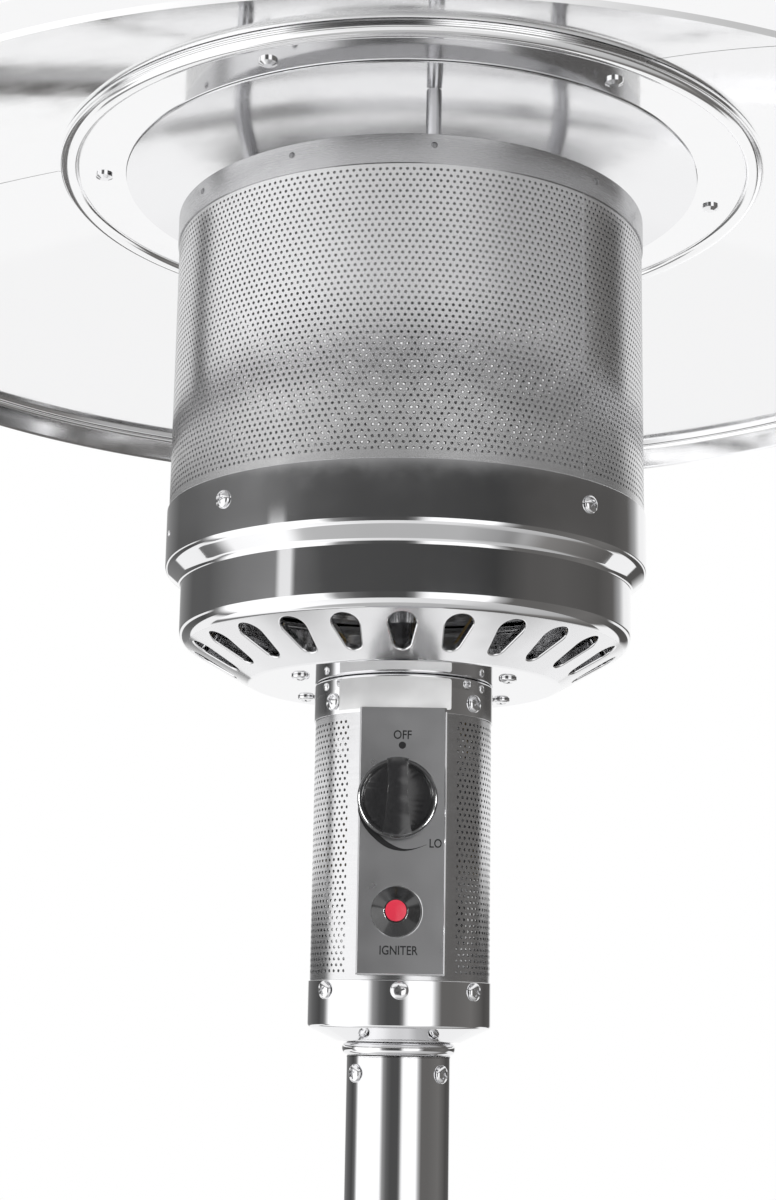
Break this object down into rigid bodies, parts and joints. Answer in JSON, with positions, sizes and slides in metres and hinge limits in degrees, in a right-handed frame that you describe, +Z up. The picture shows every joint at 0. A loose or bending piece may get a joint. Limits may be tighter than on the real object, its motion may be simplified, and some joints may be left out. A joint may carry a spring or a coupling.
{
  "type": "patio heater",
  "caption": "Stand-up gas patio heater: round wheeled base, lift-up tank cover, steel post, control head with knob and igniter, perforated emitter and wide three-panel reflector.",
  "frame": {"origin": "centre of the base's footprint, on the floor and on the axis of the post", "axes": "+Z up along the post, -Y towards the control panel, +X to the right of someone who faces the panel"},
  "size_m": [0.8506, 0.8508, 2.2108],
  "materials": {
    "polished_steel": "mirror-polished stainless steel",
    "satin_steel": "satin stainless steel with a fine brushed grain",
    "reflector_aluminium": "bright polished aluminium sheet",
    "zinc_steel": "bright zinc-plated steel",
    "cast_iron": "rough cast iron",
    "black_plastic": "black heat-resistant plastic with a satin skin",
    "red_plastic": "glossy red plastic",
    "tyre_rubber": "black solid rubber",
    "brass": "machined brass",
    "cast_aluminium": "die-cast and drawn aluminium",
    "white_ceramic": "glazed white ceramic and a silicone-covered lead"
  },
  "bodies": {
    "stand": {"base_plate": "satin_steel", "base_weight": "cast_iron", "frame_bolts": "zinc_steel", "wheel_bracket": "zinc_steel", "wheel_axle": "zinc_steel", "axle_caps": "black_plastic", "support_strap_left": "zinc_steel", "support_strap_right": "zinc_steel", "support_strap_rear": "zinc_steel", "post_socket": "zinc_steel", "lower_post": "polished_steel", "upper_post": "polished_steel", "post_sleeve": "zinc_steel", "post_screws": "zinc_steel", "head_neck": "polished_steel", "lower_collar": "polished_steel", "control_guard": "satin_steel", "control_panel": "satin_steel", "upper_collar": "polished_steel", "collar_screws": "zinc_steel", "valve_body": "cast_aluminium", "valve_bracket": "zinc_steel", "inlet_fitting": "brass", "igniter_body": "black_plastic", "igniter_bezel": "black_plastic", "tilt_switch": "black_plastic", "main_gas_tube": "cast_aluminium", "injector": "brass", "mixer_tube": "zinc_steel", "burner_head": "cast_iron", "burner_floor": "zinc_steel", "burner_bowl": "polished_steel", "bowl_screws": "zinc_steel", "pilot_tube": "brass", "pilot_burner": "zinc_steel", "spark_electrode": "white_ceramic", "thermocouple": "brass", "emitter_screen": "satin_steel", "emitter_band": "satin_steel", "emitter_cap": "satin_steel", "reflector_studs": "zinc_steel", "wing_nuts": "zinc_steel", "inner_disc": "reflector_aluminium", "reflector_plate": "reflector_aluminium", "reflector_panel_1": "reflector_aluminium", "reflector_panel_2": "reflector_aluminium", "reflector_panel_3": "reflector_aluminium", "plate_screws": "zinc_steel"},
    "tank_cover": {"tank_housing": "satin_steel", "tank_lid": "satin_steel", "lid_screws": "zinc_steel"},
    "wheel_left": {"wheel_left_hub": "black_plastic", "wheel_left_tyre": "tyre_rubber"},
    "wheel_right": {"wheel_right_hub": "black_plastic", "wheel_right_tyre": "tyre_rubber"},
    "valve_spindle": {"valve_plug": "brass"},
    "knob": {"knob": "black_plastic", "valve_stem": "brass"},
    "igniter_button": {"igniter_button": "red_plastic"}
  },
  "joints": [
    {"name": "tank_cover_lift", "type": "slide", "parent": "stand", "child": "tank_cover", "axis": [0, 0, 1], "range_m": [0, 0.52]},
    {"name": "wheel_left_spin", "type": "hinge", "parent": "stand", "child": "wheel_left", "pos_m": [-0.082, 0.292, 0.079], "axis": [1, 0, 0], "continuous": true},
    {"name": "wheel_right_spin", "type": "hinge", "parent": "stand", "child": "wheel_right", "pos_m": [0.082, 0.292, 0.079], "axis": [1, 0, 0], "continuous": true},
    {"name": "knob_turn", "type": "hinge", "parent": "stand", "child": "valve_spindle", "pos_m": [-0.0028, -0.035, 1.7595], "axis": [0, -1, 0], "range_deg": [0, 215]},
    {"name": "knob_push", "type": "slide", "parent": "valve_spindle", "child": "knob", "axis": [0, 1, 0], "range_m": [0, 0.003], "stiffness_N_per_m": 2500},
    {"name": "igniter_press", "type": "slide", "parent": "stand", "child": "igniter_button", "axis": [0, 1, 0], "range_m": [0, 0.006], "stiffness_N_per_m": 2000}
  ]
}
